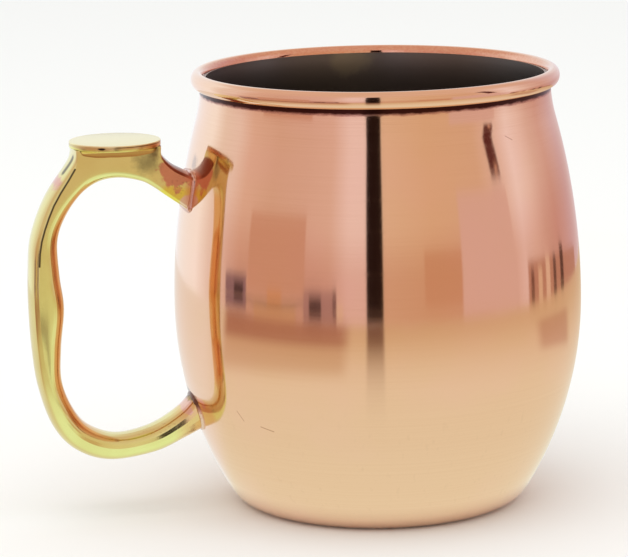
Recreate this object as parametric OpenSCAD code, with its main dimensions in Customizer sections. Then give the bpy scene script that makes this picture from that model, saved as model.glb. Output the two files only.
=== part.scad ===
// Barrel-shaped copper mug with a cast brass handle and a round thumb rest.
// The mug stands on the plane z = 0 with its axis on Z, and the handle points along -X.
// All sizes are in millimetres.

/* [Cup] */
// Diameter at the widest point of the belly
belly_d = 92; // [90:0.5:94]
// Height of the widest point above the table
belly_z = 46; // [44:0.5:48]
// Diameter of the flat ring that the mug stands on
foot_d = 57; // [54:0.5:60]
// Radius of the rounded corner between foot and wall
corner_r = 6.4; // [5:0.1:8]
// Diameter of the neck just under the lip
neck_d = 78.4; // [76:0.2:79.4]
// Height at which the neck stands upright
neck_z = 95.9; // [94:0.1:96.2]
// Radius of the hollow curve that leads into the neck
flare_r = 32; // [20:1:40]
// Thickness of the copper sheet
wall = 1; // [0.8:0.05:1.2]
// Height of the hollow in the underside, at its middle
base_dish = 1; // [0.6:0.1:1.4]
// Diameter of the hollow in the underside
base_dish_d = 44; // [36:1:50]

/* [Lip] */
// Height of the top of the lip
lip_z = 98.5; // [98.3:0.1:99]
// Diameter over the rolled lip
rim_d = 82.5; // [81.5:0.1:83.5]
// Height of the roll
roll_h = 3.8; // [3.4:0.1:4.2]
// Slit between the rolled edge of the sheet and the neck
roll_slit = 0.2; // [0.15:0.05:0.3]

/* [Lining] */
// Thickness of the nickel lining
lining = 0.3; // [0.2:0.05:0.4]
// Depth of the bare copper edge above the lining
bare_lip = 1.6; // [1.6:0.1:2.4]

/* [Handle] */
// Width of the handle from side to side
handle_w = 9.3; // [8.5:0.1:10]
// Rise of the rounded outer face above the edges of the flat sides
crown = 1.8; // [1.2:0.1:2.2]
// Radius along the inner edges of the grip, on the finger side
inner_edge_r = 3.2; // [2:0.1:3.5]
// Height of the flat pad under the thumb rest
pad_z = 83.95; // [83:0.05:85]

/* [Thumb rest] */
// Diameter of the disc
disc_d = 20.2; // [19:0.1:21]
// Thickness of the disc
disc_t = 1.35; // [1.1:0.05:1.6]
// Distance of the disc's centre from the axis of the cup
disc_reach = 59.4; // [59:0.1:60]
// Radius along both edges of the disc
disc_edge_r = 0.25; // [0.1:0.05:0.4]

/* [Brazing] */
// Leg of the fillets under the disc
disc_fillet = 1.85; // [1.6:0.05:2.2]
// Height and spread of the collars where the handle meets the cup
collar = 0.8; // [0.5:0.1:1]

/* [Hidden] */
$fn = 96;
HAIR = 0.002;

belly_r = belly_d / 2;
foot_r = foot_d / 2;
neck_r = neck_d / 2;

// The roll of the lip stands on the inside face of the neck and is a little taller
// than it is wide, so its outline is two discs with a straight stretch between them.
roll_r = (rim_d / 2 - neck_r + wall) / 2;
roll_reach = rim_d / 2 - roll_r;
roll_z = lip_z - roll_h / 2;
roll_stretch = roll_h - 2 * roll_r;

// The wall is a chain of arcs that run smoothly into each other: corner, lower
// belly, upper belly and neck. Both belly arcs stand upright at the widest point,
// and their radii follow from the arcs that they have to meet.
foot_step = belly_r - foot_r;
corner_rise = belly_z - corner_r;
lower_r = (foot_step * foot_step + corner_rise * corner_rise - corner_r * corner_r)
    / (2 * (foot_step - corner_r));
neck_step = belly_r - neck_r;
neck_rise = neck_z - belly_z;
upper_r = (neck_step * neck_step + neck_rise * neck_rise) / (2 * neck_step) - flare_r;
corner_centre = [foot_r, corner_r];
lower_centre = [belly_r - lower_r, belly_z];
upper_centre = [belly_r - upper_r, belly_z];
flare_centre = [neck_r + flare_r, neck_z];
dish_r = (base_dish_d * base_dish_d / 4 + base_dish * base_dish) / (2 * base_dish);

// Heights at which the arcs of a wall surface change over, inset from the outside.
function unit(v) = v / norm(v);
function lower_join(inset) =
    belly_z + (lower_r - inset) * unit(corner_centre - lower_centre)[1];
function upper_join(inset) =
    belly_z + (upper_r - inset) * unit(flare_centre - upper_centre)[1];

// Rungs across the handle, from the upper joint round to the lower joint. Each has
// the reach and height of its outer and of its inner end, how oval the section is
// there (0 is flat-sided and 1 is a full oval), and its share of the handle's half
// width, of the inner edge radius and of the crown.
RUNGS = [
    [39.0, 75.2, 41.0, 66.9, 0, 1.14, 0.28, 0.7],
    [43.9, 77.7, 44.9, 69.9, 0, 1.08, 0.28, 0.7],
    [47.2, 79.6, 48.9, 72.8, 0, 1.02, 0.3, 0.7],
    [49.5, 82.3, 51.9, 75.0, 0, 1, 0.35, 0.75],
    [50.5, 86.2, 54.6, 76.4, 0, 1, 0.4, 0.8],
    [59.4, 86.4, 59.3, 77.3, 0, 1, 0.5, 0.8],
    [68.2, 86.0, 63.8, 76.6, 0, 1, 0.65, 0.85],
    [69.6, 81.6, 67.8, 73.9, 0, 1, 0.8, 1],
    [75.3, 73.4, 71.3, 69.0, 0, 1, 0.9, 1],
    [78.8, 64.5, 73.1, 63.6, 0, 1, 1, 1],
    [79.6, 56.0, 72.9, 56.2, 0, 1, 1, 1],
    [79.7, 48.3, 72.1, 48.5, 0, 1, 1, 1],
    [79.3, 39.5, 73.0, 39.6, 0.2, 1, 1, 1],
    [78.2, 30.8, 73.0, 31.8, 0.4, 1, 0.95, 1],
    [75.2, 21.7, 70.3, 25.0, 0.6, 1, 0.8, 1],
    [70.3, 16.0, 66.6, 21.0, 0.75, 1, 0.7, 1],
    [62.8, 13.2, 60.5, 19.0, 0.9, 1, 0.6, 1],
    [52.5, 14.2, 53.2, 20.3, 1, 1, 0.6, 1],
    [45.4, 17.0, 47.0, 23.7, 1, 1, 0.6, 1],
    [41.3, 18.9, 43.4, 27.2, 1, 1, 0.6, 1],
    [37.0, 21.0, 39.6, 31.0, 1, 1, 0.6, 1]
];
RUNG_STEPS = 5;
EDGE_STEPS = 5;
CROWN_STEPS = 5;
UPPER_JOINT = [0, 3];
LOWER_JOINT = [17, 20];

// Catmull-Rom curve through four neighbouring rungs.
function between(a, b, c, d, t) =
    (2 * b + (c - a) * t + (2 * a - 5 * b + 4 * c - d) * t * t
    + (3 * b - 3 * c + d - a) * t * t * t) / 2;

function rung_at(i, t) =
    let (last = len(RUNGS) - 1)
    between(RUNGS[max(i - 1, 0)], RUNGS[i], RUNGS[i + 1], RUNGS[min(i + 2, last)], t);

// Half of a flat-sided section, from the middle of the inner face to the middle of
// the crown. Points are [distance from the inner face, distance from mid-plane].
function flat_half(depth, half, edge, rise) =
    let (
        crown_r = (half * half + rise * rise) / (2 * rise),
        spread = asin(half / crown_r)
    )
    concat(
        [[0, 0]],
        [for (i = [0 : EDGE_STEPS]) let (a = 90 * i / EDGE_STEPS)
            [edge * (1 - cos(a)), half - edge * (1 - sin(a))]],
        [for (i = [0 : CROWN_STEPS]) let (a = spread * (1 - i / CROWN_STEPS))
            [depth - crown_r * (1 - cos(a)), crown_r * sin(a)]]
    );

// The same points drawn towards an ellipse of the same size.
function rounded_half(depth, half, edge, rise, oval) =
    [for (p = flat_half(depth, half, edge, rise))
        let (a = atan2(p[1] / half, 2 * p[0] / depth - 1))
        (1 - oval) * p + oval * [depth * (1 + cos(a)) / 2, half * sin(a)]];

function closed_section(points) =
    concat(points, [for (i = [len(points) - 2 : -1 : 1]) [points[i][0], -points[i][1]]]);

// One ring of the casting, grown outwards all round by grow.
function ring(rung, grow) =
    let (
        outer = [rung[0], rung[1]],
        inner = [rung[2], rung[3]],
        out = unit(outer - inner),
        depth = norm(outer - inner) + 2 * grow,
        start = inner - grow * out,
        half = rung[5] * handle_w / 2 + grow,
        edge = rung[6] * inner_edge_r + grow
    )
    [for (p = closed_section(rounded_half(depth, half, edge, rung[7] * crown, rung[4])))
        [-start[0] - p[0] * out[0], p[1], start[1] + p[0] * out[1]]];

// Swept casting between two rungs of the handle.
module casting(first, last, grow) {
    rings = concat(
        [for (i = [first : last - 1], s = [0 : RUNG_STEPS - 1])
            ring(rung_at(i, s / RUNG_STEPS), grow)],
        [ring(RUNGS[last], grow)]
    );
    n = len(rings[0]);
    m = len(rings);
    sides = [for (i = [0 : m - 2], j = [0 : n - 1], half = [0, 1])
        let (
            a = i * n + j,
            b = i * n + (j + 1) % n,
            c = a + n,
            d = b + n
        )
        half == 0 ? [a, b, c] : [b, d, c]];
    caps = [for (j = [1 : n - 2], end = [0, 1])
        end == 0 ? [0, j + 1, j] : [(m - 1) * n, (m - 1) * n + j, (m - 1) * n + j + 1]];
    polyhedron(points = [for (r = rings, p = r) p], faces = concat(sides, caps));
}

// Area outside a round stretch of the wall, between two heights.
module outside_arc(centre, radius, from_z, to_z) {
    difference() {
        translate([foot_r, from_z]) square([belly_r, to_z - from_z]);
        translate(centre) circle(radius);
    }
}

// Area between the axis and a wall surface, up to a given height: a square blank
// with the corner, the belly, the hollow of the neck and the dished base cut away.
// Neighbouring cuts overlap by a hair, so that no sliver is left where they meet.
module cup_outline(inset, top) {
    low = lower_join(inset);
    high = upper_join(inset);
    difference() {
        translate([0, inset]) square([belly_r - inset - HAIR, top - inset]);
        outside_arc(corner_centre, corner_r - inset + HAIR, inset - 1, low);
        outside_arc(lower_centre, lower_r - inset, low - 1, belly_z);
        outside_arc(upper_centre, upper_r - inset, belly_z, high);
        translate(flare_centre) circle(flare_r + inset + HAIR);
        translate([neck_r - inset, neck_z]) square([belly_r, top]);
        translate([0, base_dish - dish_r]) circle(dish_r + inset);
    }
}

module roll_outline(inset) {
    for (end = [-1, 1])
        translate([roll_reach, roll_z + end * roll_stretch / 2]) circle(roll_r - inset);
    translate([roll_reach - roll_r + inset, roll_z - roll_stretch / 2])
        square([2 * (roll_r - inset), roll_stretch]);
}

module cup_solid(inset) {
    rotate_extrude($fn = 180) cup_outline(inset, roll_z);
}

// One spun sheet: base, wall and a hollow outward roll, which ends a slit away from
// the neck.
module copper_shell() {
    color("#d99b78")
    rotate_extrude($fn = 180)
    union() {
        difference() {
            cup_outline(0, roll_z + HAIR);
            cup_outline(wall, lip_z);
        }
        difference() {
            roll_outline(0);
            roll_outline(wall);
            square([neck_r + roll_slit, roll_z]);
        }
    }
}

module nickel_lining() {
    color("#6f6b68")
    rotate_extrude($fn = 180)
    difference() {
        cup_outline(wall, lip_z - bare_lip);
        cup_outline(wall + lining, lip_z);
    }
}

module handle() {
    color("#cdbc6c")
    difference() {
        casting(0, len(RUNGS) - 1, 0);
        cup_solid(0);
        translate([-disc_reach - disc_d, -disc_d, pad_z]) cube([2 * disc_d, 2 * disc_d, disc_d]);
    }
}

module thumb_rest() {
    color("#e6ddb0")
    translate([-disc_reach, 0, pad_z])
    rotate_extrude()
    union() {
        square([disc_d / 2 - disc_edge_r, disc_t]);
        translate([0, disc_edge_r]) square([disc_d / 2, disc_t - 2 * disc_edge_r]);
        for (z = [disc_edge_r, disc_t - disc_edge_r])
            translate([disc_d / 2 - disc_edge_r, z]) circle(disc_edge_r);
    }
}

// Two hollow fillets in the corners between the disc and the sides of the handle.
module thumb_rest_braze() {
    color("#c9a24f")
    intersection() {
        for (side = [0, 1])
            mirror([0, side, 0])
            translate([-disc_reach - disc_d / 2, handle_w / 2, pad_z])
            rotate([90, 0, 90])
            linear_extrude(disc_d)
            difference() {
                translate([0, -disc_fillet]) square(disc_fillet);
                translate([disc_fillet, -disc_fillet]) circle(disc_fillet);
            }
        translate([-disc_reach, 0, pad_z - disc_d / 2]) cylinder(d = disc_d - 0.6, h = disc_d);
    }
}

// Layer of braze on the wall of the cup, between two heights.
module wall_layer(from_z, to_z) {
    rotate_extrude($fn = 180)
    intersection() {
        difference() {
            cup_outline(-collar, roll_z);
            cup_outline(0, roll_z);
        }
        translate([foot_r, from_z]) square([belly_r, to_z - from_z]);
    }
}

// Ring of braze round one end of the handle, where the handle meets the cup.
module braze_collar(joint, from_z, to_z) {
    difference() {
        intersection() {
            wall_layer(from_z, to_z);
            casting(joint[0], joint[1], collar);
        }
        casting(joint[0], joint[1], 0);
    }
}

module upper_braze() {
    color("#c98068") braze_collar(UPPER_JOINT, 64, 84);
}

module lower_braze() {
    color("#b98a5c") braze_collar(LOWER_JOINT, 12, 34);
}

copper_shell();
nickel_lining();
handle();
thumb_rest();
thumb_rest_braze();
upper_braze();
lower_braze();
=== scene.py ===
"""Looks of the copper mug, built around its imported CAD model."""

import math

import bmesh
import bpy
from mathutils import Matrix, Vector, noise


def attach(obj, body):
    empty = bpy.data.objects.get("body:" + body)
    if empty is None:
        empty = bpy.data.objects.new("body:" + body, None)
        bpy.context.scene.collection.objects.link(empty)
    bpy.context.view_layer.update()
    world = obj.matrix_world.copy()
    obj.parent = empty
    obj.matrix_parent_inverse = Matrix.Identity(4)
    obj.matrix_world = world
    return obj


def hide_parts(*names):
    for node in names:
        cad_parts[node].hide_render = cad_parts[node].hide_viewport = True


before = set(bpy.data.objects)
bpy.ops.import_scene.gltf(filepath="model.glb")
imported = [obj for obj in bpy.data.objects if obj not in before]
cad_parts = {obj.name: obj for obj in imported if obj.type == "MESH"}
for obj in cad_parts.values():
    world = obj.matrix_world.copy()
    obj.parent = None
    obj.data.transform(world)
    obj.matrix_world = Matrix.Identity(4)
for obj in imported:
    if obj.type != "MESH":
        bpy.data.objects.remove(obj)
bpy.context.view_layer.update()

MM = 0.001

# Sizes in millimetres, the same as in the CAD source.
BELLY_R = 46.0
BELLY_Z = 46.0
FOOT_R = 28.5
CORNER_R = 6.4
NECK_R = 39.2
NECK_Z = 95.9
FLARE_R = 32.0
WALL = 1.0
LINING = 0.3
BARE_LIP = 1.6
BASE_DISH = 1.0
DISH_EDGE_R = 22.0
LIP_Z = 98.5
RIM_R = 41.25
ROLL_H = 3.8
ROLL_SLIT = 0.2
HANDLE_HALF = 4.65
CROWN = 1.8
INNER_EDGE_R = 3.2
PAD_Z = 83.95
DISC_R = 10.1
DISC_T = 1.35
DISC_REACH = 59.4
DISC_EDGE_R = 0.25
DISC_FILLET = 1.85

ROLL_HALF = (RIM_R - NECK_R + WALL) / 2
ROLL_REACH = RIM_R - ROLL_HALF
ROLL_Z = LIP_Z - ROLL_H / 2
FOOT_STEP = BELLY_R - FOOT_R
CORNER_RISE = BELLY_Z - CORNER_R
LOWER_R = (FOOT_STEP**2 + CORNER_RISE**2 - CORNER_R**2) / (2 * (FOOT_STEP - CORNER_R))
NECK_STEP = BELLY_R - NECK_R
NECK_RISE = NECK_Z - BELLY_Z
UPPER_R = (NECK_STEP**2 + NECK_RISE**2) / (2 * NECK_STEP) - FLARE_R
CORNER_CENTRE = (FOOT_R, CORNER_R)
LOWER_CENTRE = (BELLY_R - LOWER_R, BELLY_Z)
UPPER_CENTRE = (BELLY_R - UPPER_R, BELLY_Z)
FLARE_CENTRE = (NECK_R + FLARE_R, NECK_Z)
DISH_R = (DISH_EDGE_R**2 + BASE_DISH**2) / (2 * BASE_DISH)
LOW_ANGLE = math.atan2(CORNER_CENTRE[1] - LOWER_CENTRE[1], CORNER_CENTRE[0] - LOWER_CENTRE[0])
HIGH_ANGLE = math.atan2(FLARE_CENTRE[1] - UPPER_CENTRE[1], FLARE_CENTRE[0] - UPPER_CENTRE[0])

# Rungs across the handle from the upper joint to the lower joint: outer reach and
# height, inner reach and height, how oval the section is, and its share of the
# handle's half width, of the inner edge radius and of the crown.
RUNGS = [
    (39.0, 75.2, 41.0, 66.9, 0, 1.14, 0.28, 0.7),
    (43.9, 77.7, 44.9, 69.9, 0, 1.08, 0.28, 0.7),
    (47.2, 79.6, 48.9, 72.8, 0, 1.02, 0.3, 0.7),
    (49.5, 82.3, 51.9, 75.0, 0, 1, 0.35, 0.75),
    (50.5, 86.2, 54.6, 76.4, 0, 1, 0.4, 0.8),
    (59.4, 86.4, 59.3, 77.3, 0, 1, 0.5, 0.8),
    (68.2, 86.0, 63.8, 76.6, 0, 1, 0.65, 0.85),
    (69.6, 81.6, 67.8, 73.9, 0, 1, 0.8, 1),
    (75.3, 73.4, 71.3, 69.0, 0, 1, 0.9, 1),
    (78.8, 64.5, 73.1, 63.6, 0, 1, 1, 1),
    (79.6, 56.0, 72.9, 56.2, 0, 1, 1, 1),
    (79.7, 48.3, 72.1, 48.5, 0, 1, 1, 1),
    (79.3, 39.5, 73.0, 39.6, 0.2, 1, 1, 1),
    (78.2, 30.8, 73.0, 31.8, 0.4, 1, 0.95, 1),
    (75.2, 21.7, 70.3, 25.0, 0.6, 1, 0.8, 1),
    (70.3, 16.0, 66.6, 21.0, 0.75, 1, 0.7, 1),
    (62.8, 13.2, 60.5, 19.0, 0.9, 1, 0.6, 1),
    (52.5, 14.2, 53.2, 20.3, 1, 1, 0.6, 1),
    (45.4, 17.0, 47.0, 23.7, 1, 1, 0.6, 1),
    (41.3, 18.9, 43.4, 27.2, 1, 1, 0.6, 1),
    (37.0, 21.0, 39.6, 31.0, 1, 1, 0.6, 1),
]
RUNG_STEPS = 12

# Steps along each arc of the cup's wall.
DISH_STEPS = 16
CORNER_STEPS = 14
BELLY_STEPS = 44
FLARE_STEPS = 18

# The pad is cut flat only on the outer side of this x.
PAD_START = -45

# Half the length of a fillet under the disc, and the radius it stays within.
FILLET_REACH = 8.6
FILLET_LIMIT = DISC_R - 0.2

# Mean widths of the beads of braze.
UPPER_BEAD = 0.62
LOWER_BEAD = 0.5


# ---------------------------------------------------------------- shapes

def arc(centre, radius, start, end, steps):
    """Points of a circular arc in (radius, height), both ends included."""
    points = []
    for i in range(steps + 1):
        a = start + (end - start) * i / steps
        points.append((centre[0] + radius * math.cos(a), centre[1] + radius * math.sin(a)))
    return points


def wall_curve(inset):
    """Outline of the cup's wall from the middle of the base up to the neck."""
    dish = DISH_R + inset
    rim = math.acos((DISH_R - BASE_DISH + inset) / dish)
    points = arc((0, BASE_DISH - DISH_R), dish, math.pi / 2, math.pi / 2 - rim, DISH_STEPS)
    points[0] = (0, points[0][1])
    points += arc(CORNER_CENTRE, CORNER_R - inset, -math.pi / 2, LOW_ANGLE, CORNER_STEPS)
    points += arc(LOWER_CENTRE, LOWER_R - inset, LOW_ANGLE, 0, BELLY_STEPS)[1:]
    points += arc(UPPER_CENTRE, UPPER_R - inset, 0, HIGH_ANGLE, BELLY_STEPS)[1:]
    points += arc(FLARE_CENTRE, FLARE_R + inset, math.pi + HIGH_ANGLE, math.pi, FLARE_STEPS)[1:]
    return points


def wall_radius(z):
    """Outer radius of the cup's wall at a height."""
    low = LOWER_CENTRE[1] + LOWER_R * math.sin(LOW_ANGLE)
    high = UPPER_CENTRE[1] + UPPER_R * math.sin(HIGH_ANGLE)
    if z < low:
        return FOOT_R + math.sqrt(max(CORNER_R**2 - (z - CORNER_R) ** 2, 0))
    if z < BELLY_Z:
        return LOWER_CENTRE[0] + math.sqrt(LOWER_R**2 - (z - BELLY_Z) ** 2)
    if z < high:
        return UPPER_CENTRE[0] + math.sqrt(UPPER_R**2 - (z - BELLY_Z) ** 2)
    return FLARE_CENTRE[0] - math.sqrt(FLARE_R**2 - (z - NECK_Z) ** 2)


def wall_normal(p):
    """Outward direction of the cup's wall at a point on it."""
    step = 0.05
    slope = (wall_radius(p.z + step) - wall_radius(p.z - step)) / (2 * step)
    flat = Vector((p.x, p.y, 0)).normalized()
    return Vector((flat.x, flat.y, -slope)).normalized()


def finish_mesh(bm, name, material, sharp=40):
    """Turns a bmesh in millimetres into a smooth object in metres."""
    bmesh.ops.remove_doubles(bm, verts=bm.verts, dist=0.0005)
    bmesh.ops.recalc_face_normals(bm, faces=bm.faces)
    limit = math.radians(sharp)
    for face in bm.faces:
        face.smooth = True
    for edge in bm.edges:
        edge.smooth = not edge.is_manifold or edge.calc_face_angle(0) < limit
    bmesh.ops.scale(bm, vec=(MM, MM, MM), verts=bm.verts)
    mesh = bpy.data.meshes.new(name)
    bm.to_mesh(mesh)
    bm.free()
    mesh.materials.append(material)
    obj = bpy.data.objects.new(name, mesh)
    bpy.context.scene.collection.objects.link(obj)
    return obj


def turned(name, profile, material, segments=256, centre=(0, 0), sharp=40):
    """Solid of revolution of a closed profile in (radius, height)."""
    bm = bmesh.new()
    rings = []
    for r, z in profile:
        if r < 1e-6:
            rings.append([bm.verts.new((centre[0], centre[1], z))] * segments)
            continue
        ring = []
        for i in range(segments):
            a = 2 * math.pi * i / segments
            ring.append(bm.verts.new((centre[0] + r * math.cos(a), centre[1] + r * math.sin(a), z)))
        rings.append(ring)
    for k, ring in enumerate(rings):
        following = rings[(k + 1) % len(rings)]
        for i in range(segments):
            j = (i + 1) % segments
            corners = []
            for v in (ring[i], ring[j], following[j], following[i]):
                if v not in corners:
                    corners.append(v)
            if len(corners) > 2:
                bm.faces.new(corners)
    return finish_mesh(bm, name, material, sharp)


def roll_point(angle):
    """Point on the outline of the lip's roll; angle 0 is its outermost point."""
    return (ROLL_REACH + ROLL_HALF * math.cos(angle), ROLL_Z + ROLL_H / 2 * math.sin(angle))


def shell_profile():
    """The sheet from the outside of the base, up the wall, round the roll and down the inside."""
    slit_top = ROLL_Z - WALL / 2
    lip_edge = NECK_R + ROLL_SLIT
    edge_round = 0.12
    start = -math.acos((lip_edge + edge_round - ROLL_REACH) / ROLL_HALF)
    start_z = roll_point(start)[1]
    outside = wall_curve(0)
    outside.append((NECK_R, slit_top))
    outside.append((lip_edge, slit_top))
    outside.append((lip_edge, start_z + 1.4 * edge_round))
    outside.append((lip_edge + 0.3 * edge_round, start_z + 0.4 * edge_round))
    steps = 80
    for i in range(steps + 1):
        outside.append(roll_point(start + (math.pi - start) * i / steps))
    return outside + wall_curve(WALL)[::-1]


def lining_profile():
    """The plated layer, from its top edge down the inside and back up against the copper."""
    top = LIP_Z - BARE_LIP
    face = wall_curve(WALL + LINING) + [(NECK_R - WALL - LINING, top)]
    back = wall_curve(WALL) + [(NECK_R - WALL, top)]
    return face[::-1] + back


def catmull(a, b, c, d, t):
    """Point of the curve that runs through neighbouring rungs."""
    return [
        (2 * q + (r - p) * t + (2 * p - 5 * q + 4 * r - s) * t**2 + (3 * q - 3 * r + s - p) * t**3) / 2
        for p, q, r, s in zip(a, b, c, d)
    ]


def rung_at(i, t):
    last = len(RUNGS) - 1
    return catmull(RUNGS[max(i - 1, 0)], RUNGS[i], RUNGS[i + 1], RUNGS[min(i + 2, last)], t)


def shoulder_points(first, last, steps):
    """Points along the near shoulder of the handle, where a flat side meets the crown."""
    points = []
    for i in range(first, last):
        for k in range(steps):
            rung = rung_at(i, k / steps)
            outer = Vector((rung[0], rung[1]))
            inner = Vector((rung[2], rung[3]))
            edge = outer - rung[7] * CROWN * (outer - inner).normalized()
            points.append((-edge.x, -HANDLE_HALF, edge.y))
    return points


def outer_half(half, rise):
    """Crown, shoulder and narrow facet of the outer face: (drop below the crown, distance)."""
    crown_end = math.radians(22)
    facet_start = math.radians(70)
    facet_end = math.radians(82)
    shoulder_r = 1.4
    facet_r = 1.6
    crown_r = (
        half
        - shoulder_r * (math.sin(facet_start) - math.sin(crown_end))
        - facet_r * (math.sin(facet_end) - math.sin(facet_start))
    ) / math.sin(crown_end)
    points = []
    drop, out = 0, 0
    for radius, start, end, steps in (
        (crown_r, 0, crown_end, 8),
        (shoulder_r, crown_end, facet_start, 8),
        (facet_r, facet_start, facet_end, 4),
    ):
        for i in range(1, steps + 1):
            a = start + (end - start) * i / steps
            fall = radius * (math.cos(start) - math.cos(a))
            spread = radius * (math.sin(a) - math.sin(start))
            points.append((drop + fall, out + spread))
        drop, out = points[-1]
    scale = rise / drop
    return [(d * scale, w) for d, w in points]


def section_half(depth, half, edge, oval, rise):
    """Half of a section of the handle: (distance from the inner face, from mid-plane)."""
    edge_steps = 12
    points = [(0, 0), (0, (half - edge) / 2)]
    for i in range(edge_steps + 1):
        a = math.pi / 2 * i / edge_steps
        points.append((edge * (1 - math.cos(a)), half - edge * (1 - math.sin(a))))
    for share in (0.35, 0.7):
        points.append((edge + (depth - rise - edge) * share, half))
    outer = [(depth - d, w) for d, w in outer_half(half, rise)][::-1]
    points += outer
    points.append((depth, 0))
    blended = []
    for d, w in points:
        a = math.atan2(w / half, 2 * d / depth - 1)
        round_d = depth * (1 + math.cos(a)) / 2
        round_w = half * math.sin(a)
        blended.append((d + oval * (round_d - d), w + oval * (round_w - w)))
    return blended


def handle_ring(rung):
    """One closed ring of the handle's surface, as points in millimetres."""
    outer = Vector((rung[0], rung[1]))
    inner = Vector((rung[2], rung[3]))
    depth = (outer - inner).length
    out = (outer - inner) / depth
    half = section_half(
        depth, rung[5] * HANDLE_HALF, rung[6] * INNER_EDGE_R, rung[4], rung[7] * CROWN
    )
    closed = half + [(d, -w) for d, w in half[-2:0:-1]]
    ring = []
    for d, w in closed:
        ring.append(Vector((-inner.x - d * out.x, w, inner.y + d * out.y)))
    return ring


def seat(outside, inside):
    """Point where the line between two points meets the cup's wall."""
    a, b = outside, inside
    for _ in range(24):
        mid = (a + b) / 2
        if math.hypot(mid.x, mid.y) > wall_radius(mid.z):
            a = mid
        else:
            b = mid
    return (a + b) / 2


def handle_rings():
    """Rings along the handle, trimmed to the wall of the cup and to the flat pad."""
    rings = []
    for i in range(len(RUNGS) - 1):
        for s in range(RUNG_STEPS):
            rings.append(handle_ring(rung_at(i, s / RUNG_STEPS)))
    rings.append(handle_ring(RUNGS[-1]))
    middle = len(rings) // 2
    count = len(rings[0])
    ends = ([], [])
    for j in range(count):
        for end, order in ((0, range(middle, -1, -1)), (1, range(middle, len(rings)))):
            order = list(order)
            stop = None
            for k, i in enumerate(order):
                p = rings[i][j]
                if stop is None and math.hypot(p.x, p.y) < wall_radius(p.z):
                    stop = seat(rings[order[k - 1]][j], p)
                    direction = (rings[order[k - 1]][j] - p).normalized()
                if stop is not None:
                    rings[i][j] = stop
            ends[end].append((stop, direction))
    for ring in rings:
        for p in ring:
            if p.x < PAD_START:
                p.z = min(p.z, PAD_Z)
    return rings, ends


def build_handle(rings, material):
    bm = bmesh.new()
    grid = [[bm.verts.new(p) for p in ring] for ring in rings]
    n = len(grid[0])
    for lower, upper in zip(grid, grid[1:]):
        for j in range(n):
            k = (j + 1) % n
            bm.faces.new((lower[j], lower[k], upper[k], upper[j]))
    bm.faces.new(grid[0][::-1])
    bm.faces.new(grid[-1])
    bmesh.ops.remove_doubles(bm, verts=bm.verts, dist=0.0005)
    bmesh.ops.dissolve_degenerate(bm, dist=0.0005, edges=bm.edges)
    return finish_mesh(bm, "cast_handle", material, sharp=6.5)


def braze_bead(name, end, width, seed, material):
    """Uneven bead of braze round one end of the handle."""
    loop = [p for p, _ in end]
    along = [d for _, d in end]
    centre = sum(loop, Vector()) / len(loop)
    bm = bmesh.new()
    rows = []
    steps = 8
    bury = 0.25
    skin = 0.06
    tuck = 0.12
    stretch = 1.05
    for j, p in enumerate(loop):
        normal = wall_normal(p)
        tangent = loop[(j + 1) % len(loop)] - loop[j - 1]
        away = tangent.cross(normal).normalized()
        if away.dot(p - centre) < 0:
            away = -away
        up = along[j]
        swell = noise.noise(p * 0.55 + Vector((seed, 0, 0)))
        ripple = noise.noise(p * 1.7 + Vector((0, seed, 0)))
        size = width * (1 + 0.45 * swell + 0.16 * ripple)
        row = [p - bury * normal - bury * away, p - skin * normal + size * stretch * away]
        for i in range(steps + 1):
            a = math.pi / 2 * i / steps
            row.append(p + size * math.cos(a) * away + size * stretch * math.sin(a) * up)
        row.append(p + size * stretch * up - tuck * away)
        rows.append([bm.verts.new(q) for q in row])
    for j, row in enumerate(rows):
        following = rows[(j + 1) % len(rows)]
        for i in range(len(row)):
            k = (i + 1) % len(row)
            bm.faces.new((row[i], row[k], following[k], following[i]))
    return finish_mesh(bm, name, material, sharp=75)


def disc_profile():
    """Flat disc with rounded edges, standing on the pad of the handle."""
    flat_r = DISC_R - DISC_EDGE_R
    lower = arc((flat_r, DISC_EDGE_R), DISC_EDGE_R, -math.pi / 2, 0, 5)[1:]
    upper = arc((flat_r, DISC_T - DISC_EDGE_R), DISC_EDGE_R, 0, math.pi / 2, 5)
    return [(r, z + PAD_Z) for r, z in [(0, 0), (flat_r, 0)] + lower + upper + [(0, DISC_T)]]


def disc_fillets(material):
    """Two hollow fillets in the corners between the disc and the sides of the handle."""
    bm = bmesh.new()
    steps = 36
    curve = 8
    for side in (-1, 1):
        rows = []
        for i in range(steps + 1):
            t = 2 * i / steps - 1
            x = -DISC_REACH + FILLET_REACH * t
            overhang = math.sqrt(FILLET_LIMIT**2 - (FILLET_REACH * t) ** 2) - HANDLE_HALF
            leg = min(DISC_FILLET * (1.04 - 0.5 * abs(t) ** 3), overhang)
            leg *= 1 + 0.06 * noise.noise(Vector((x * 0.35, side, 0)))
            buried = side * (HANDLE_HALF - 0.1)
            row = [(x, buried, PAD_Z + 0.05), (x, buried, PAD_Z - leg)]
            for k in range(curve + 1):
                a = math.pi / 2 * k / curve
                row.append(
                    (x, side * (HANDLE_HALF + leg * (1 - math.cos(a))), PAD_Z - leg * (1 - math.sin(a)))
                )
            row.append((x, side * (HANDLE_HALF + leg), PAD_Z + 0.05))
            rows.append([bm.verts.new(p) for p in row])
        for lower, upper in zip(rows, rows[1:]):
            for k in range(len(lower)):
                j = (k + 1) % len(lower)
                bm.faces.new((lower[k], lower[j], upper[j], upper[k]))
        bm.faces.new(rows[0][::-1])
        bm.faces.new(rows[-1])
    return finish_mesh(bm, "disc_fillets", material)


# ---------------------------------------------------------------- materials

# Directions on the plan, from the axis towards the camera and to the camera's right.
FACING = math.radians(-105)
SIDE = math.radians(-15)


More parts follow.
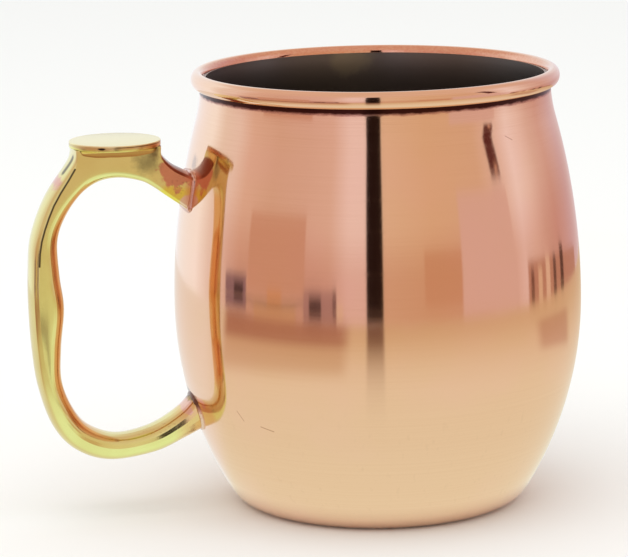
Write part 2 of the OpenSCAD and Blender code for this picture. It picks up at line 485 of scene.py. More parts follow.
class Finish:
    """A node material on one metal shader, with short calls for its nodes."""

    def __init__(self, name, **constants):
        self.material = bpy.data.materials.new(name)
        self.material.use_nodes = True
        self.tree = self.material.node_tree
        self.shader = self.tree.nodes["Principled BSDF"]
        for key, value in constants.items():
            self.shader.inputs[key.replace("_", " ")].default_value = value
        coords = self.tree.nodes.new("ShaderNodeTexCoord")
        self.place = self.vector("SCALE", coords.outputs["Object"], Scale=1 / MM)
        split = self.tree.nodes.new("ShaderNodeSeparateXYZ")
        self.tree.links.new(self.place, split.inputs[0])
        self.x, self.y, self.z = split.outputs
        flat = self.vector("MULTIPLY", self.place, (1, 1, 0))
        self.radius = self.vector("LENGTH", flat)
        across = self.vector("DOT_PRODUCT", self.place, (math.cos(SIDE), math.sin(SIDE), 0))
        towards = self.vector("DOT_PRODUCT", self.place, (math.cos(FACING), math.sin(FACING), 0))
        self.turn = self.math("DEGREES", self.math("ARCTAN2", across, towards))

    def put(self, socket, value):
        if isinstance(value, bpy.types.NodeSocket):
            self.tree.links.new(value, socket)
        else:
            socket.default_value = value

    def vector(self, operation, a, b=None, **others):
        node = self.tree.nodes.new("ShaderNodeVectorMath")
        node.operation = operation
        self.put(node.inputs[0], a)
        if b is not None:
            self.put(node.inputs[1], b)
        for key, value in others.items():
            self.put(node.inputs[key], value)
        scalar = operation in ("LENGTH", "DOT_PRODUCT", "DISTANCE")
        return node.outputs["Value" if scalar else "Vector"]

    def math(self, operation, a, b=0.0, clamp=False):
        node = self.tree.nodes.new("ShaderNodeMath")
        node.operation = operation
        node.use_clamp = clamp
        self.put(node.inputs[0], a)
        self.put(node.inputs[1], b)
        return node.outputs[0]

    def ramp(self, value, low, high):
        """0 below low and 1 above high, smooth in between; low may be above high."""
        node = self.tree.nodes.new("ShaderNodeMapRange")
        node.interpolation_type = "SMOOTHSTEP"
        self.put(node.inputs["Value"], value)
        node.inputs["From Min"].default_value = low
        node.inputs["From Max"].default_value = high
        return node.outputs["Result"]

    def gradient(self, value, stops):
        """Colour that runs through the stops, each a value and its colour."""
        low = stops[0][0]
        high = stops[-1][0]
        node = self.tree.nodes.new("ShaderNodeValToRGB")
        share = self.math("DIVIDE", self.math("SUBTRACT", value, low), high - low)
        self.tree.links.new(share, node.inputs[0])
        elements = node.color_ramp.elements
        while len(elements) < len(stops):
            elements.new(1)
        for element, (place, colour) in zip(elements, stops):
            element.position = (place - low) / (high - low)
            element.color = (*colour, 1)
        return node.outputs[0]

    def both(self, *masks):
        result = masks[0]
        for mask in masks[1:]:
            result = self.math("MULTIPLY", result, mask)
        return result

    def noise(self, scale, detail=2.0, rough=0.5, seed=0.0, distortion=0.0):
        """Noise between 0 and 1; scale is in cycles per millimetre, one number or three."""
        if isinstance(scale, (int, float)):
            scale = (scale, scale, scale)
        node = self.tree.nodes.new("ShaderNodeTexNoise")
        node.noise_dimensions = "3D"
        stretched = self.vector("MULTIPLY", self.place, scale)
        moved = self.vector("ADD", stretched, (seed, seed * 0.7, seed * 1.3))
        self.tree.links.new(moved, node.inputs["Vector"])
        node.inputs["Scale"].default_value = 1
        node.inputs["Detail"].default_value = detail
        node.inputs["Roughness"].default_value = rough
        node.inputs["Distortion"].default_value = distortion
        return node.outputs[0]

    def near(self, centre, size, fuzz=0.35, grain=0.5, seed=0.0):
        """Patch round a point: 1 inside, 0 outside, with an uneven edge."""
        offset = self.vector("SUBTRACT", self.place, centre)
        scaled = self.vector("DIVIDE", offset, size)
        distance = self.vector("LENGTH", scaled)
        uneven = self.math("MULTIPLY", self.math("SUBTRACT", self.noise(grain, 3, 0.6, seed), 0.5), 1.6)
        return self.ramp(self.math("ADD", distance, uneven), 1 + fuzz, 1 - fuzz)

    def stroke(self, start, end, width):
        """Thin straight mark between two points."""
        start = Vector(start)
        span = Vector(end) - start
        offset = self.vector("SUBTRACT", self.place, start)
        dot = self.vector("DOT_PRODUCT", offset, span / span.length_squared)
        share = self.math("MINIMUM", self.math("MAXIMUM", dot, 0.0), 1.0)
        foot = self.vector("SCALE", tuple(span), Scale=share)
        gap = self.vector("DISTANCE", offset, foot)
        return self.ramp(gap, width, width * 0.3)

    def path(self, points, width):
        """Thin mark that follows a row of points."""
        result = self.stroke(points[0], points[1], width)
        for start, end in zip(points[1:], points[2:]):
            result = self.math("MAXIMUM", result, self.stroke(start, end, width))
        return result

    def mix(self, share, a, b):
        node = self.tree.nodes.new("ShaderNodeMix")
        node.data_type = "RGBA"
        self.put(node.inputs[0], share)
        self.put(node.inputs[6], (*a, 1) if isinstance(a, tuple) else a)
        self.put(node.inputs[7], (*b, 1) if isinstance(b, tuple) else b)
        return node.outputs[2]

    def mix_value(self, share, a, b):
        node = self.tree.nodes.new("ShaderNodeMix")
        node.data_type = "FLOAT"
        self.put(node.inputs[0], share)
        self.put(node.inputs[2], a)
        self.put(node.inputs[3], b)
        return node.outputs[0]

    def bump(self, height, distance, strength=1.0, over=None):
        """Bump of a height field, whose 0 to 1 stands for a distance in millimetres."""
        node = self.tree.nodes.new("ShaderNodeBump")
        node.inputs["Strength"].default_value = strength
        node.inputs["Distance"].default_value = distance * MM
        self.tree.links.new(height, node.inputs["Height"])
        if over is not None:
            self.tree.links.new(over, node.inputs["Normal"])
        return node.outputs[0]

    def facing(self, direction, low, high):
        """1 where the surface faces along a direction, 0 where it faces aside or away."""
        node = self.tree.nodes.new("ShaderNodeNewGeometry")
        along = self.vector("DOT_PRODUCT", node.outputs["Normal"], direction)
        return self.ramp(along, low, high)

    def glow(self, colour, cover=None):
        """Makes this a light source, see-through where cover is 0."""
        nodes = self.tree.nodes
        nodes.remove(self.shader)
        light = nodes.new("ShaderNodeEmission")
        self.put(light.inputs["Color"], colour)
        surface = light.outputs[0]
        if cover is not None:
            mixer = nodes.new("ShaderNodeMixShader")
            clear = nodes.new("ShaderNodeBsdfTransparent")
            self.tree.links.new(cover, mixer.inputs[0])
            self.tree.links.new(clear.outputs[0], mixer.inputs[1])
            self.tree.links.new(surface, mixer.inputs[2])
            surface = mixer.outputs[0]
        self.tree.links.new(surface, nodes["Material Output"].inputs["Surface"])
        return self.material

    def shade(self, colour, roughness, normal=None):
        self.put(self.shader.inputs["Base Color"], colour)
        self.put(self.shader.inputs["Roughness"], roughness)
        if normal is not None:
            self.put(self.shader.inputs["Normal"], normal)
        return self.material


def polished_copper():
    """Buffed sheet: spinning lines, soot and painted shade in the gap under the roll, a painted red
    reflection on the inner lip, marks.
    """
    f = Finish("polished_copper", Metallic=1.0, Anisotropic=0.75, Anisotropic_Rotation=0.25)
    base = (0.88, 0.61, 0.43)
    lines = f.noise((0.012, 0.012, 5.5), 3, 0.6)
    wide = f.noise((0.02, 0.02, 0.9), 2, 0.5, 4.0)
    cloud = f.noise(0.05, 2, 0.5, 9.0)
    colour = f.mix(f.ramp(lines, 0.35, 0.75), base, (0.865, 0.59, 0.41))
    colour = f.mix(f.ramp(cloud, 0.4, 0.7), colour, (0.885, 0.60, 0.44))

    neck_lines = f.both(f.ramp(f.noise((0.03, 0.03, 9.0), 2, 0.7, 6.0), 0.52, 0.62), f.ramp(f.z, 78, 93))
    colour = f.mix(f.math("MULTIPLY", neck_lines, 0.35), colour, (0.80, 0.50, 0.33))

    uneven = f.noise((0.35, 0.35, 1.2), 3, 0.65, 2.0)
    depth = f.math("ADD", f.z, f.math("MULTIPLY", f.math("SUBTRACT", uneven, 0.5), 0.9))
    under_roll = f.both(f.ramp(f.radius, 40.2, 39.9), f.ramp(f.radius, 38.7, 38.9), f.ramp(f.z, 95.4, 95.0))
    # Band just under the roll: partly real soot, which also roughens the copper, and partly painted shade.
    # Its top, right against the roll, is painted near-black as shade in the gap.
    soot_and_shade_under_roll = f.both(f.ramp(depth, 93.0, 93.6), under_roll)
    painted_crevice_shade = f.both(f.ramp(depth, 93.4, 93.9), under_roll)
    colour = f.mix(f.math("MULTIPLY", soot_and_shade_under_roll, 0.75), colour, (0.34, 0.13, 0.12))
    colour = f.mix(painted_crevice_shade, colour, (0.05, 0.014, 0.011))

    grainy = f.ramp(f.noise((1.2, 1.2, 2.5), 3, 0.7, 7.0), 0.3, 0.7)
    # Painted reflection: the inner side of the roll is tinted red where the copper would mirror itself.
    inner_lip = f.both(f.ramp(f.radius, 39.6, 38.9), f.ramp(f.z, 96.4, 96.9))
    painted_lip_reflection = f.math("MULTIPLY", inner_lip, f.math("ADD", f.math("MULTIPLY", grainy, 0.35), 0.4))
    colour = f.mix(painted_lip_reflection, colour, (0.70, 0.30, 0.19))

    smudge = f.near((-42.4, -2.6, 79.8), (1.6, 1.6, 1.6), 0.6, 0.5, 3.0)
    soot = f.near((-43.6, 3.0, 26.8), (2.5, 3.2, 1.0), 0.5, 0.6, 5.0)
    scratches = f.math(
        "MAXIMUM",
        f.stroke((-38.0, -22.0, 27.4), (-36.7, -23.1, 25.3), 0.16),
        f.stroke((19.3, -35.5, 87.1), (21.1, -34.8, 86.1), 0.16),
    )
    scratches = f.math("MAXIMUM", scratches, f.stroke((-33.8, -26.9, 24.7), (-31.5, -29.3, 24.0), 0.2))
    colour = f.mix(f.math("MULTIPLY", smudge, 0.5), colour, (0.30, 0.26, 0.26))
    colour = f.mix(f.math("MULTIPLY", soot, 0.85), colour, (0.05, 0.02, 0.015))
    colour = f.mix(f.math("MULTIPLY", scratches, 0.6), colour, (0.42, 0.22, 0.13))

    streaks = f.ramp(f.noise((0.9, 0.9, 0.03), 2, 0.6, 8.0), 0.62, 0.72)
    low_streaks = f.both(streaks, f.ramp(f.z, 34, 22))
    colour = f.mix(f.math("MULTIPLY", low_streaks, 0.12), colour, (0.70, 0.45, 0.30))

    rough = f.mix_value(soot_and_shade_under_roll, 0.085, 0.3)
    rough = f.math("ADD", rough, f.math("MULTIPLY", f.ramp(wide, 0.45, 0.8), 0.03))
    rough = f.math("ADD", rough, f.math("MULTIPLY", smudge, 0.12))
    normal = f.bump(lines, 0.002, 0.3)
    return f.shade(colour, rough, normal)


def nickel_plate():
    """Satin plating with circular spinning lines, a painted highlight towards the lip and a painted khaki
    reflection on the far side.
    """
    f = Finish("nickel_plate", Metallic=1.0, Anisotropic=0.6, Anisotropic_Rotation=0.25)
    lines = f.noise((0.02, 0.02, 4.0), 3, 0.6, 3.0)
    cloud = f.noise(0.08, 2, 0.5, 6.0)
    colour = f.mix(cloud, (0.29, 0.265, 0.235), (0.23, 0.21, 0.19))
    # Painted highlight: the lining is lightened towards the lip.
    colour = f.mix(f.math("MULTIPLY", f.ramp(f.z, 90, 96.5), 0.35), colour, (0.44, 0.42, 0.41))
    # Painted reflection: a khaki patch on the far side of the lining, just below the lip.
    painted_khaki_reflection = f.near((4.0, 37.6, 95.0), (4.5, 3.0, 2.8), 0.5, 0.2, 2.0)
    colour = f.mix(f.math("MULTIPLY", painted_khaki_reflection, 0.5), colour, (0.58, 0.53, 0.38))
    rough = f.mix_value(lines, 0.30, 0.42)
    normal = f.bump(lines, 0.004, 0.5)
    return f.shade(colour, rough, normal)


def cast_brass():
    """Buffed casting with heat tints, soot and pits at the brazed joints, and painted reflections and shade
    on its faces.
    """
    f = Finish("cast_brass", Metallic=1.0)
    grain = f.noise(0.5, 4, 0.6)
    cloud = f.noise(0.12, 2, 0.5, 5.0)
    # Painted reflection: the flat sides of the handle get a paler, greener brass than its rounded faces.
    painted_side_reflection = f.math("MAXIMUM", f.facing((0, -1, 0), 0.5, 0.9), f.facing((0, 1, 0), 0.5, 0.9))
    rounded = f.mix(f.ramp(cloud, 0.35, 0.7), (0.78, 0.69, 0.31), (0.75, 0.64, 0.29))
    flat = f.mix(f.ramp(cloud, 0.35, 0.7), (0.86, 0.91, 0.40), (0.83, 0.85, 0.36))
    colour = f.mix(painted_side_reflection, rounded, flat)
    # Painted reflection: the inner face, which looks at the cup, is tinted copper.
    painted_copper_reflection_inner = f.both(f.facing((1, 0, 0), 0.2, 0.65), f.ramp(f.x, -50, -54))
    colour = f.mix(f.math("MULTIPLY", painted_copper_reflection_inner, 0.75), colour, (0.80, 0.44, 0.19))

    green = f.near((-47.3, 0, 73.4), (4.2, 20, 1.9), 0.35, 0.3, 1.0)
    pink = f.near((-46.9, 0, 77.9), (4.3, 20, 3.8), 0.12, 0.35, 4.0)
    cream = f.near((-44.6, 0, 71.6), (1.3, 20, 1.6), 0.2, 0.6, 6.0)
    smudge = f.near((-53.2, 0, 80.6), (2.6, 20, 2.0), 0.75, 0.5, 7.0)
    edge_smudge = f.near((-51.6, 0, 83.0), (1.0, 20, 1.6), 0.6, 0.6, 9.0)
    outer_tint = f.near((-73.6, 0, 78.0), (1.6, 20, 2.2), 0.3, 0.4, 3.0)
    colour = f.mix(green, colour, (0.86, 0.80, 0.15))
    colour = f.mix(f.math("MULTIPLY", pink, 0.9), colour, (0.70, 0.29, 0.20))
    colour = f.mix(cream, colour, (0.86, 0.70, 0.54))
    colour = f.mix(f.math("MULTIPLY", smudge, 0.7), colour, (0.20, 0.19, 0.10))
    colour = f.mix(f.math("MULTIPLY", edge_smudge, 0.7), colour, (0.10, 0.05, 0.03))
    colour = f.mix(f.math("MULTIPLY", outer_tint, 0.8), colour, (0.72, 0.35, 0.32))

    # Painted shade: a near-black line along the near shoulder, where the flat side meets the crown.
    painted_crease_shade = f.path(shoulder_points(7, 10, 3), 0.32)
    colour = f.mix(f.math("MULTIPLY", painted_crease_shade, 0.92), colour, (0.04, 0.025, 0.015))
    marks = f.stroke((-69.3, -2.2, 82.0), (-71.3, -1.8, 79.0), 1.1)
    colour = f.mix(f.math("MULTIPLY", marks, 0.85), colour, (0.09, 0.07, 0.05))

    # Painted reflection: the upward-facing top of the arm near the cup is painted dark red.
    painted_arm_top_reflection = f.both(f.facing((0, 0, 1), 0.15, 0.4), f.ramp(f.x, -51.2, -50.0), f.ramp(f.z, 60, 66))
    colour = f.mix(f.math("MULTIPLY", painted_arm_top_reflection, 0.95), colour, (0.22, 0.05, 0.025))
    joint_red = f.both(f.ramp(f.x, -45.6, -43.6), f.ramp(f.z, 60, 64))
    colour = f.mix(f.math("MULTIPLY", joint_red, 0.65), colour, (0.68, 0.25, 0.16))

    pit_noise = f.noise(2.3, 2, 0.5, 11.0)
    upper_area = f.near((-45.9, 0, 75.4), (1.9, 20, 2.2), 0.4, 0.5, 5.0)
    upper_pits = f.both(f.ramp(pit_noise, 0.65, 0.71), upper_area)
    lower_area = f.near((-53.5, 0, 20.2), (8.0, 20, 1.7), 0.3, 0.3, 6.0)
    lower_pits = f.both(f.ramp(pit_noise, 0.62, 0.69), lower_area)
    colour = f.mix(f.math("MULTIPLY", upper_pits, 0.85), colour, (0.22, 0.05, 0.04))
    colour = f.mix(f.math("MULTIPLY", lower_pits, 0.55), colour, (0.50, 0.24, 0.14))

    orange = f.both(f.ramp(f.x, -49.0, -45.4), f.ramp(f.z, 34, 31))
    colour = f.mix(f.math("MULTIPLY", orange, 0.6), colour, (0.80, 0.46, 0.22))
    low_pink = f.near((-45.2, 0, 24.6), (1.2, 20, 1.6), 0.25, 0.5, 2.0)
    low_soot = f.near((-44.0, 0, 27.6), (1.1, 20, 1.9), 0.5, 0.6, 3.0)
    colour = f.mix(f.math("MULTIPLY", low_pink, 0.75), colour, (0.80, 0.50, 0.44))
    colour = f.mix(f.math("MULTIPLY", low_soot, 0.9), colour, (0.06, 0.03, 0.02))

    rough = f.mix_value(grain, 0.09, 0.15)
    rough = f.math("ADD", rough, f.math("MULTIPLY", pink, 0.10))
    rough = f.math("ADD", rough, f.math("MULTIPLY", smudge, 0.12))
    normal = f.bump(grain, 0.01, 0.2)
    normal = f.bump(pit_noise, 0.02, 0.15, normal)
    return f.shade(colour, rough, normal)


def polished_brass():
    """Flat lapped disc with a thin stained line and a chip along its edge, and painted reflection bands on
    its rim.
    """
    f = Finish("polished_brass", Metallic=1.0)
    grain = f.noise(3.0, 3, 0.6)
    colour = f.mix(grain, (0.90, 0.82, 0.48), (0.87, 0.77, 0.43))
    top = PAD_Z + DISC_T
    # Painted reflection: the rim of the disc below its top face is painted darker, and its lower part
    # golden-green.
    edge = f.ramp(f.z, top - 0.15, top - 0.3)
    painted_lower_rim_reflection = f.ramp(f.z, top - 0.7, top - 0.95)
    colour = f.mix(edge, colour, (0.70, 0.58, 0.27))
    colour = f.mix(painted_lower_rim_reflection, colour, (0.81, 0.79, 0.28))
    # Painted reflection: the end of the rim nearest the cup is tinted red-brown.
    painted_copper_reflection_end = f.both(edge, f.ramp(f.x, -54.5, -51.5))
    colour = f.mix(f.math("MULTIPLY", painted_copper_reflection_end, 0.8), colour, (0.62, 0.24, 0.10))
    line = f.both(f.ramp(f.z, top - 0.18, top - 0.26), f.ramp(f.z, top - 0.52, top - 0.42))
    line = f.both(line, f.ramp(f.x, -61.2, -60.2))
    colour = f.mix(f.math("MULTIPLY", line, 0.8), colour, (0.22, 0.09, 0.04))
    chip = f.near((-64.0, -9.0, top - 0.6), (0.75, 1.4, 0.26), 0.3, 0.8, 4.0)
    colour = f.mix(chip, colour, (0.05, 0.03, 0.02))
    rough = f.mix_value(grain, 0.22, 0.30)
    normal = f.bump(grain, 0.004, 0.4)
    return f.shade(colour, rough, normal)


def brass_filler():
    """Golden fillet with a brown flux line along its lower border."""
    f = Finish("brass_filler", Metallic=1.0)
    grain = f.noise(0.9, 3, 0.6)
    colour = f.mix(grain, (0.80, 0.60, 0.16), (0.84, 0.70, 0.25))
    border = f.ramp(f.z, PAD_Z - 0.5, PAD_Z - 0.9)
    colour = f.mix(border, colour, (0.50, 0.27, 0.08))
    ends = f.math("MAXIMUM", f.ramp(f.x, -67.4, -68.0), f.ramp(f.x, -52.4, -51.0))
    colour = f.mix(f.math("MULTIPLY", ends, 0.8), colour, (0.12, 0.06, 0.03))
    rough = f.mix_value(grain, 0.14, 0.22)
    normal = f.bump(grain, 0.02, 0.4)
    return f.shade(colour, rough, normal)


def copper_filler():
    """Pinkish braze, dark with soot at the top of the lower joint."""
    f = Finish("copper_filler", Metallic=1.0)
    grain = f.noise(1.2, 3, 0.6)
    colour = f.mix(grain, (0.62, 0.34, 0.26), (0.80, 0.56, 0.47))
    soot = f.both(f.ramp(f.z, 23.6, 25.2), f.ramp(f.z, 40, 34))
    colour = f.mix(f.math("MULTIPLY", soot, 0.85), colour, (0.09, 0.035, 0.02))
    pale = f.both(f.ramp(f.z, 24.4, 22.8), f.ramp(grain, 0.35, 0.5))
    colour = f.mix(f.math("MULTIPLY", pale, 0.5), colour, (0.90, 0.74, 0.60))
    rough = f.mix_value(grain, 0.14, 0.26)
    normal = f.bump(grain, 0.03, 0.5)
    return f.shade(colour, rough, normal)


# ---------------------------------------------------------------- camera and studio

# The camera looks at the mug from its right-hand side, with the handle to the left.
CAMERA_PLACE = Vector((-0.18117, -0.67615, 0.19171))
CAMERA_TURN = math.radians(-15)
CAMERA_FORWARD = Vector((-0.0200689, 0.98004793, -0.19774554))
CAMERA_RIGHT = Vector((0.99972523, 0.01727497, -0.01584403))
CAMERA_UP = Vector((0.01211186, 0.19800918, 0.98012533))
LENS = 180.67
VIEW_DROP = math.radians(11.4)

# Height at which the walls and cards of the studio stand clear of the floor, in metres.
FLOOR_GAP = 0.0005


def make_camera():
    """Camera at the photograph's viewing angle, with no shift and no depth of field."""
    turn_about = Matrix.Rotation(CAMERA_TURN, 3, "Z")
    forward = turn_about @ CAMERA_FORWARD
    right = turn_about @ CAMERA_RIGHT
    up = turn_about @ CAMERA_UP
    data = bpy.data.cameras.new("camera")
    data.sensor_width = 36
    data.lens = LENS
    data.clip_start = 0.01
    camera = bpy.data.objects.new("camera", data)
    bpy.context.scene.collection.objects.link(camera)
    turn = Matrix((right, up, -forward)).transposed().to_4x4()
    camera.matrix_world = Matrix.Translation(CAMERA_PLACE) @ turn
    bpy.context.scene.camera = camera


def mirror_only(obj):
    """A card that shows in polished metal and nowhere else."""
    obj.visible_camera = False
    obj.visible_diffuse = False
    obj.visible_shadow = False
    obj.visible_transmission = False


def loose_mesh(bm, name, material):
    """Object of the studio, straight from a bmesh in metres."""
    mesh = bpy.data.meshes.new(name)
    bm.to_mesh(mesh)
    bm.free()
    mesh.materials.append(material)
    obj = bpy.data.objects.new(name, mesh)
    bpy.context.scene.collection.objects.link(obj)
    return obj


def seen_at(cup_z, reach, turn):
    """Height of a thing at a reach, in metres, and at an angle to the right of the camera,
    that the cup mirrors at a height on its belly in millimetres."""
    lean = math.asin((cup_z - BELLY_Z) / UPPER_R)
    face = turn / 2
    for _ in range(3):
        face = (turn + BELLY_R * MM / reach * math.sin(face)) / 2
    towards = math.cos(VIEW_DROP) * math.cos(lean) * math.cos(face) + math.sin(VIEW_DROP) * math.sin(lean)
    up = 2 * towards * math.sin(lean) - math.sin(VIEW_DROP)
    away = math.sqrt((reach / MM) ** 2 - (BELLY_R * math.sin(face)) ** 2) - BELLY_R * math.cos(face)
    return max((cup_z + away * up / math.sqrt(1 - up**2)) * MM, FLOOR_GAP)


def card(name, left, right, low, high, colour, reach, lean=0.0, sag=0.0, taper=0.0):
    """Upright card that shows only in polished metal. left and right are degrees to the
    right of the camera; low and high are the heights on the belly where it is mirrored.
    lean moves the top sideways in degrees, taper moves its right-hand end further, and
    sag lowers the middle in millimetres."""
    bm = bmesh.new()
    steps = 10
    rows = []
    for i in range(steps + 1):
        share = i / steps
        turn = math.radians(left + (right - left) * share)
        top_turn = turn + math.radians(lean + taper * share)
        drop = sag * 4 * share * (1 - share)
        bottom = seen_at(low - drop, reach, turn)
        top = seen_at(high - drop, reach, top_turn)
        a = FACING + turn
        tip = FACING + top_turn
        lower = bm.verts.new((reach * math.cos(a), reach * math.sin(a), bottom))
        upper = bm.verts.new((reach * math.cos(tip), reach * math.sin(tip), top))
        rows.append((lower, upper))
    for near, far in zip(rows, rows[1:]):
        bm.faces.new((near[0], far[0], far[1], near[1]))
    material = Finish(name).glow((*colour, 1))
    mirror_only(loose_mesh(bm, name, material))


# Colours of the room round the mug, by degrees to the right of the camera.
ROOM_COLOURS = [
    (-180, (0.96, 1.00, 1.05)),
    (-118, (1.05, 1.12, 1.22)),
    (-105, (0.90, 0.84, 0.85)),
    (-91, (0.89, 0.79, 0.82)),
    (-79, (0.80, 0.60, 0.55)),
    (-60, (0.735, 0.53, 0.46)),
    (-40, (0.755, 0.55, 0.51)),
    (-25, (0.79, 0.59, 0.56)),
    (-15, (0.91, 0.78, 0.86)),
    (-7, (0.91, 0.78, 0.86)),
    (4, (0.80, 0.62, 0.50)),
    (30, (0.765, 0.56, 0.41)),
    (60, (0.75, 0.54, 0.42)),
    (78, (0.85, 0.70, 0.70)),
    (86, (0.94, 0.86, 0.95)),
    (96, (0.88, 0.75, 0.78)),
    (106, (0.78, 0.60, 0.60)),
    (118, (0.73, 0.51, 0.51)),
    (140, (0.748, 0.61, 0.72)),
    (180, (0.96, 1.00, 1.05)),
]

# Colours of the table top, by distance from the axis in millimetres.
TABLE_COLOURS = [
    (34, (0.90, 0.93, 0.80)),
    (60, (0.87, 0.87, 0.74)),
    (106, (0.87, 0.83, 0.70)),
    (183, (0.80, 0.68, 0.52)),
    (274, (0.72, 0.555, 0.38)),
    (340, (0.68, 0.50, 0.34)),
]

# Things that stand round the mug: name, left and right edge in degrees, lower and
# upper edge on the belly in millimetres, and colour. They stand at FAR_CARDS and at
# MIDDLE_CARDS, in metres from the axis.
ROOM_THINGS = [
    ("screen_left", -72, -38, 55.5, 73.5, (0.65, 0.39, 0.31)),
    ("sheet_low_left", -68, -43, 48.7, 52, (0.66, 0.42, 0.27)),
    ("post_left", -59.5, -51, 48.7, 56.7, (0.69, 0.37, 0.21)),
    ("box_left", -88, -73, 50.5, 58.6, (0.27, 0.17, 0.22)),
    ("box_middle", -38.7, -21, 48.7, 56.4, (0.43, 0.26, 0.27)),
    ("bottle_middle", -25.3, -17.6, 49.4, 53, (0.80, 0.60, 0.50)),
    ("screen_low_right", 24.5, 45, 52.6, 65.2, (0.64, 0.37, 0.25)),
    ("shelf_right", 87.5, 142, 49, 60, (0.52, 0.28, 0.22)),
]
NEARER_THINGS = [
    ("core_left", -81.5, -75, 52.4, 56.5, (0.03, 0.015, 0.02)),
    ("core_middle", -35.5, -29, 50, 54.6, (0.05, 0.025, 0.03)),
    ("edge_middle", -23, -21, 50, 56.4, (0.20, 0.11, 0.12)),
    ("dark_right_end", 89.5, 92, 50, 58, (0.20, 0.09, 0.07)),
    ("jar_right", 95.5, 99, 49, 58, (0.75, 0.55, 0.42)),
    ("pale_right", 102.5, 106.5, 50, 60, (0.78, 0.58, 0.48)),
    ("dark_right", 110, 113, 50, 60, (0.16, 0.08, 0.07)),
    ("dark_far_right", 118, 122, 49, 62, (0.12, 0.06, 0.05)),
    ("dark_strip", -5.5, 3, 48.9, 110, (0.015, 0.006, 0.005)),
]
FAR_CARDS = 0.325
MIDDLE_CARDS = 0.32
NEAR_CARDS = 0.315

# The room round the mug, in metres.
ROOM_REACH = 0.33
ROOM_HEIGHT = 0.34
CEILING_REACH = 0.12
CEILING_HEIGHT = 0.5
TABLE_START = 0.032
TABLE_GAP = 0.0003


def room_mesh():
    """Round wall and ceiling, wide enough to stay clear of the mug and its handle."""
    bm = bmesh.new()
    segments = 96
    rings = []
    ceiling = (CEILING_REACH, CEILING_HEIGHT)
    for reach, height in ((ROOM_REACH, FLOOR_GAP), (ROOM_REACH, ROOM_HEIGHT), ceiling):
        ring = []
        for i in range(segments):
            a = 2 * math.pi * i / segments
            ring.append(bm.verts.new((reach * math.cos(a), reach * math.sin(a), height)))
        rings.append(ring)
    for lower, upper in zip(rings, rings[1:]):
        for i in range(segments):
            j = (i + 1) % segments
            bm.faces.new((lower[i], lower[j], upper[j], upper[i]))
    bm.faces.new(rings[-1])
    return bm


def room_look():
    f = Finish("room_wall")
    around = f.gradient(f.turn, ROOM_COLOURS)
    near_horizon = f.both(f.ramp(f.z, 110, 45), f.ramp(f.turn, -108, -85))
    dimmer = f.mix(near_horizon, (1, 1, 1), (0.88, 0.76, 0.72))
    around = f.vector("MULTIPLY", around, dimmer)
    ceiling = f.ramp(f.z, 240, 420)
    return f.glow(f.mix(ceiling, around, (0.79, 0.60, 0.51)))


def table_look():
    f = Finish("table_mirror")
    across = f.gradient(f.radius, TABLE_COLOURS)
    left = f.ramp(f.turn, -80, -106)
    across = f.mix(f.math("MULTIPLY", left, 0.85), across, (0.93, 0.94, 0.94))
    left_side = f.both(f.ramp(f.turn, -90, -84), f.ramp(f.turn, -12, -20))
    dusk = f.both(left_side, f.ramp(f.radius, 115, 150))
    across = f.mix(dusk, across, f.vector("MULTIPLY", across, (0.86, 0.76, 0.70)))
    clutter = f.both(left_side, f.ramp(f.radius, 195, 245))
    across = f.mix(f.math("MULTIPLY", clutter, 0.85), across, (0.43, 0.20, 0.15))
    right_side = f.both(f.ramp(f.turn, 88, 97), f.ramp(f.turn, 128, 119))
    shade = f.both(right_side, f.ramp(f.radius, 145, 170), f.ramp(f.radius, 260, 240))
    across = f.mix(shade, across, f.vector("MULTIPLY", across, (0.80, 0.66, 0.66)))
    strip = f.both(f.ramp(f.turn, -6.5, -4.5), f.ramp(f.turn, 4, 2), f.ramp(f.radius, 60, 290))
    across = f.mix(f.math("MULTIPLY", strip, 0.9), across, (0.16, 0.07, 0.05))
    cover = f.ramp(f.radius, 32, 38)
    return f.glow(across, cover)


def table_mesh():
    bm = bmesh.new()
    segments = 96
    rings = []
    for reach in (TABLE_START, 0.1, 0.2, ROOM_REACH):
        ring = []
        for i in range(segments):
            a = 2 * math.pi * i / segments
            ring.append(bm.verts.new((reach * math.cos(a), reach * math.sin(a), TABLE_GAP)))
        rings.append(ring)
    for inner, outer in zip(rings, rings[1:]):
        for i in range(segments):
            j = (i + 1) % segments
            bm.faces.new((inner[i], outer[i], outer[j], inner[j]))
    return bm


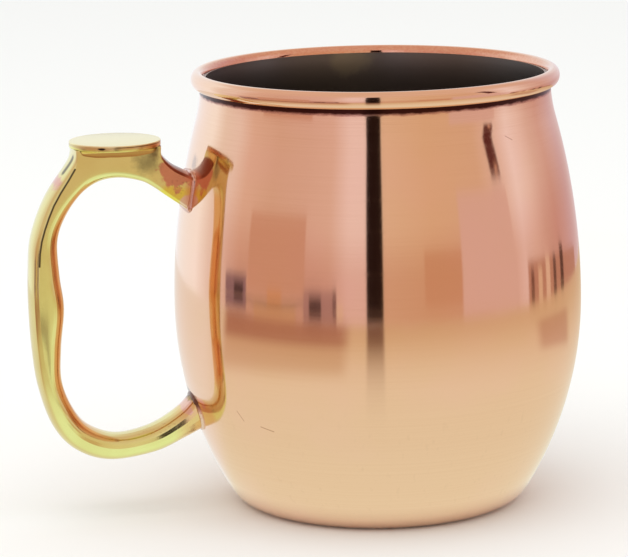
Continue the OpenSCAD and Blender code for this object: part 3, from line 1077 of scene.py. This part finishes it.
def make_stage():
    scene = bpy.context.scene
    scene.view_settings.view_transform = "Standard"
    world = bpy.data.worlds.new("studio")
    scene.world = world
    world.use_nodes = True
    back = world.node_tree.nodes["Background"]
    back.inputs["Color"].default_value = (0.97, 0.98, 1.0, 1)
    back.inputs["Strength"].default_value = 0.95

    floor_look = bpy.data.materials.new("pale_floor")
    floor_look.use_nodes = True
    shader = floor_look.node_tree.nodes["Principled BSDF"]
    shader.inputs["Base Color"].default_value = (0.93, 0.925, 0.89, 1)
    shader.inputs["Roughness"].default_value = 0.9
    shader.inputs["Specular IOR Level"].default_value = 0.1
    bm = bmesh.new()
    bmesh.ops.create_circle(bm, cap_ends=True, radius=6, segments=64)
    floor = loose_mesh(bm, "floor", floor_look)

    lamp = bpy.data.lights.new("softbox", "AREA")
    lamp.shape = "RECTANGLE"
    lamp.size = 1.2
    lamp.size_y = 1.2
    lamp.energy = 5
    softbox = bpy.data.objects.new("softbox", lamp)
    softbox.location = (-0.3, -0.3, 1.3)
    direction = Vector((0, 0, 0.05)) - softbox.location
    softbox.rotation_euler = direction.to_track_quat("-Z", "Y").to_euler()
    scene.collection.objects.link(softbox)
    softbox.visible_glossy = False

    mirror_only(loose_mesh(room_mesh(), "room", room_look()))
    mirror_only(loose_mesh(table_mesh(), "table", table_look()))
    for things, reach in ((ROOM_THINGS, FAR_CARDS), (NEARER_THINGS, MIDDLE_CARDS)):
        for thing in things:
            card(*thing, reach)
    card("screen_right", 45, 80.5, 49.5, 78.5, (0.748, 0.545, 0.528), FAR_CARDS, taper=-3.5)
    card("cable_left", -73.6, -38.7, 53.0, 53.6, (0.05, 0.05, 0.05), NEAR_CARDS, sag=1.3)
    card("strip_far_right", 68.8, 75.4, 81.2, 110, (0.10, 0.02, 0.018), MIDDLE_CARDS, lean=-4)
    card("spot_far_right", 71.6, 73.8, 82.4, 83.7, (0.9, 0.5, 0.35), NEAR_CARDS)


# ---------------------------------------------------------------- assembly

make_camera()
make_stage()

shell = turned("spun_shell", shell_profile(), polished_copper())
lining = turned("lining", lining_profile(), nickel_plate())
rings, ends = handle_rings()
handle = build_handle(rings, cast_brass())
disc = turned("thumb_disc", disc_profile(), polished_brass(), 128, (-DISC_REACH, 0), 50)
fillets = disc_fillets(brass_filler())
upper = braze_bead("upper_bead", ends[0], UPPER_BEAD, 3.0, copper_filler())
lower = braze_bead("lower_bead", ends[1], LOWER_BEAD, 8.0, copper_filler())

for piece, node_name, slot_name in (
    (shell, "copper_shell", "polished_copper"),
    (lining, "nickel_lining", "nickel_plate"),
    (handle, "handle", "cast_brass"),
    (disc, "thumb_rest", "polished_brass"),
    (fillets, "thumb_rest_braze", "brass_filler"),
    (upper, "upper_braze", "copper_filler"),
    (lower, "lower_braze", "copper_filler"),
):
    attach(piece, "root")
    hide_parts(node_name)
